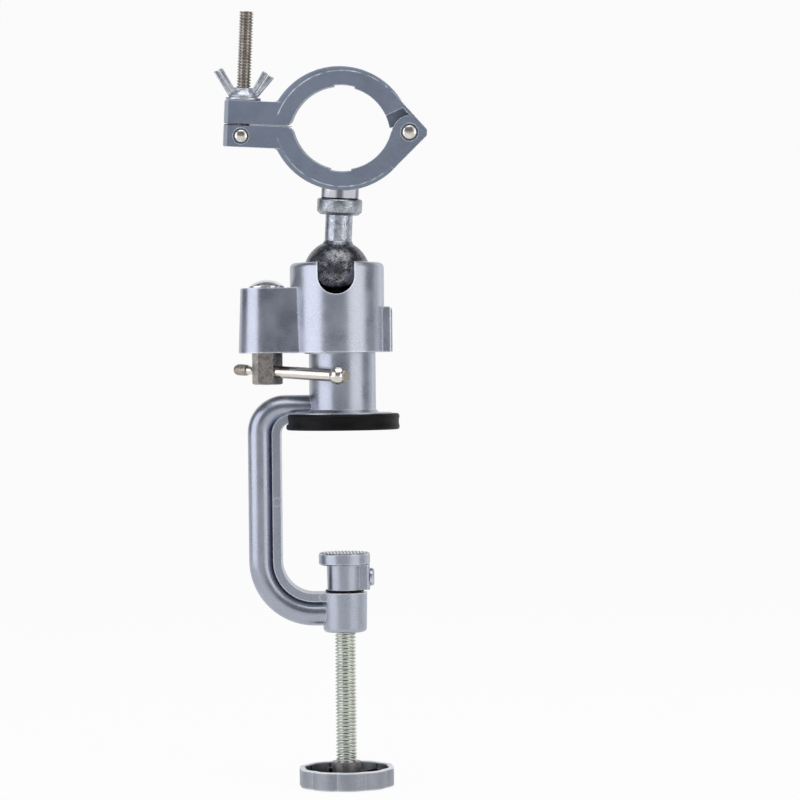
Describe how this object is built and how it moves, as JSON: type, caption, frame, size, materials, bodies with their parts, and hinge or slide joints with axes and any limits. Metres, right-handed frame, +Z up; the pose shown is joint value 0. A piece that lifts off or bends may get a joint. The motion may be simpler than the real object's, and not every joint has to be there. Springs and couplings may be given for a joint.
{
  "type": "clamp-on bench vise",
  "caption": "Small clamp-on bench vise: screw clamp with rubber pad, T-bar locked ball joint and hinged ring that grips the round neck of a tool.",
  "frame": {"origin": "centre of the rubber pad's underside, the face that rests on the bench top", "axes": "+Z up through the column towards the ring, +X to the right as the picture shows it, away from the frame's spine, -Y towards the camera and the sleeve's notch"},
  "size_m": [0.0953, 0.0545, 0.3478],
  "materials": {
    "frame_cast": "satin silver-blue paint over die casting",
    "sleeve_cast": "satin silver-blue paint over die casting",
    "jaw_cast": "matte blue-grey die casting",
    "knob_cast": "satin grey die casting",
    "pad_rubber": "matte black moulded rubber",
    "zinc_screw": "greenish-white zinc plate",
    "zinc_nut": "bluish zinc plate",
    "bolt_nickel": "brownish nickel plate",
    "bar_nickel": "polished warm nickel plate",
    "nut_steel": "rough grey-brown steel",
    "ball_steel": "dark mottled cast steel",
    "collar_steel": "mottled silver zinc plate"
  },
  "bodies": {
    "frame": {"c_frame": "frame_cast", "bench_pad": "pad_rubber"},
    "cup": {"pressure_cup": "knob_cast", "cup_screw": "zinc_nut"},
    "screw": {"clamp_screw": "zinc_screw", "hand_knob": "knob_cast"},
    "sleeve": {"housing": "sleeve_cast", "lock_screw": "zinc_nut"},
    "nut": {"t_nut": "nut_steel"},
    "lever": {"t_bar": "bar_nickel", "t_bar_ball": "bar_nickel"},
    "stud": {"ball_stud": "ball_steel"},
    "collar": {"lock_collar": "collar_steel"},
    "ring": {"lower_jaw": "jaw_cast", "hinge_pin": "zinc_screw", "pivot_pin": "zinc_screw"},
    "jaw": {"upper_jaw": "jaw_cast"},
    "bolt": {"swing_bolt": "bolt_nickel"},
    "bolt_washer": {"washer": "zinc_nut"},
    "bolt_nut": {"wing_nut": "zinc_nut"}
  },
  "joints": [
    {"name": "clamp_feed", "type": "slide", "parent": "frame", "child": "cup", "axis": [0, 0, 1], "range_m": [0, 0.0551]},
    {"name": "clamp_turn", "type": "hinge", "parent": "cup", "child": "screw", "pos_m": [0, 0, -0.1], "axis": [0, 0, 1], "range_deg": [0, 12480]},
    {"name": "sleeve_lift", "type": "slide", "parent": "frame", "child": "sleeve", "axis": [0, 0, 1], "range_m": [0, 0.00035]},
    {"name": "lever_turn", "type": "hinge", "parent": "frame", "child": "nut", "pos_m": [-0.0337, 0, 0.03], "axis": [0, 0, -1], "range_deg": [0, 100]},
    {"name": "lever_slide", "type": "slide", "parent": "nut", "child": "lever", "axis": [0.8028, -0.594, -0.0523], "range_m": [-0.0298, 0.0044]},
    {"name": "ball_tilt", "type": "hinge", "parent": "frame", "child": "stud", "pos_m": [-0.002, 0, 0.0702], "axis": [1, 0, 0], "range_deg": [-44, 85.4]},
    {"name": "head_swivel", "type": "hinge", "parent": "stud", "child": "ring", "pos_m": [-0.002, 0, 0.0702], "axis": [0.0539, -0.0802, 0.9953], "continuous": true},
    {"name": "collar_turn", "type": "hinge", "parent": "stud", "child": "collar", "pos_m": [-0.002, 0, 0.0702], "axis": [-0.0539, 0.0802, -0.9953], "range_deg": [0, 90]},
    {"name": "jaw_open", "type": "hinge", "parent": "ring", "child": "jaw", "pos_m": [0.03134, -0.00519, 0.13298], "axis": [0.0043, 0.9968, 0.0801], "range_deg": [0, 17]},
    {"name": "bolt_lean", "type": "hinge", "parent": "ring", "child": "bolt", "pos_m": [-0.04371, -0.00479, 0.1321], "axis": [0.0043, 0.9968, 0.0801], "range_deg": [0, 5.1]},
    {"name": "nut_travel", "type": "slide", "parent": "bolt", "child": "bolt_washer", "axis": [0.0539, -0.0802, 0.9953], "range_m": [0, 0.0247]},
    {"name": "wing_turn", "type": "hinge", "parent": "bolt_washer", "child": "bolt_nut", "pos_m": [-0.04371, -0.00479, 0.1321], "axis": [0.0539, -0.0802, 0.9953], "range_deg": [0, 6970]}
  ],
  "couplings": [
    {"joint": "clamp_feed", "follows": "clamp_turn", "m_per_rad": 0.00025266},
    {"joint": "nut_travel", "follows": "wing_turn", "m_per_rad": 0.00020213},
    {"joint": "jaw_open", "follows": "wing_turn", "ratio": 0.0024353},
    {"joint": "bolt_lean", "follows": "wing_turn", "ratio": 0.00073058}
  ]
}
